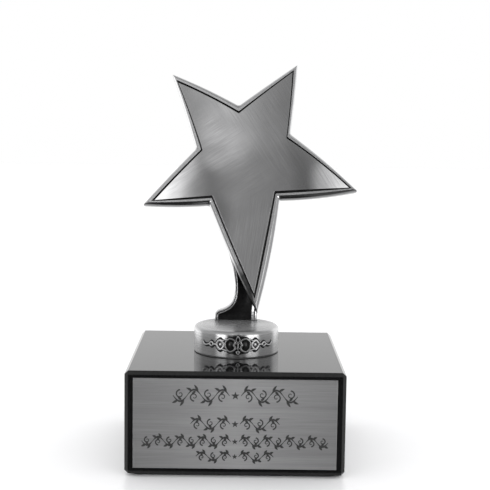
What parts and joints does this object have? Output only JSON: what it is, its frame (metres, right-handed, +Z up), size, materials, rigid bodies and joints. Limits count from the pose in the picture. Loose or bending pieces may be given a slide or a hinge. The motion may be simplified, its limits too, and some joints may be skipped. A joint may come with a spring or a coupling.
{
  "type": "star trophy",
  "caption": "Leaning satin metal star on a curved stem and an ornamented drum, fixed to a square polished black block with a brushed nameplate.",
  "frame": {"origin": "centre of the felt's underside, on the surface that the award stands on, below the drum's axis", "axes": "+Z up, -Y towards the front with the nameplate, +X to the viewer's right"},
  "size_m": [0.1095, 0.101, 0.1884],
  "materials": {
    "cast_silver": "antique silver casting, polished edges with dark patina in the recesses",
    "star_face": "hand-brushed satin metal, strokes in several directions",
    "drum_silver": "satin turned silver",
    "filigree_silver": "bright raised wires over black patina",
    "black_stone": "polished black stone with bevelled edges",
    "nameplate_metal": "horizontally brushed plate with a dark engraved ornament",
    "zinc_hardware": "zinc-plated steel fasteners",
    "gasket_rubber": "thin black rubber",
    "adhesive": "double-sided adhesive film",
    "felt": "black wool felt"
  },
  "bodies": {
    "root": {"base_felt": "felt", "base_block": "black_stone", "nameplate_tape": "adhesive", "nameplate": "nameplate_metal", "clamp_stud": "zinc_hardware", "clamp_washer": "zinc_hardware", "lock_washer": "zinc_hardware", "clamp_nut": "zinc_hardware", "drum_gasket": "gasket_rubber", "drum": "drum_silver", "filigree_band": "filigree_silver", "filigree_beads": "filigree_silver", "star_body": "cast_silver", "star_face_adhesive": "adhesive", "star_face_plate": "star_face", "stem": "cast_silver", "star_screws": "zinc_hardware", "foot_screws": "zinc_hardware"}
  },
  "joints": []
}
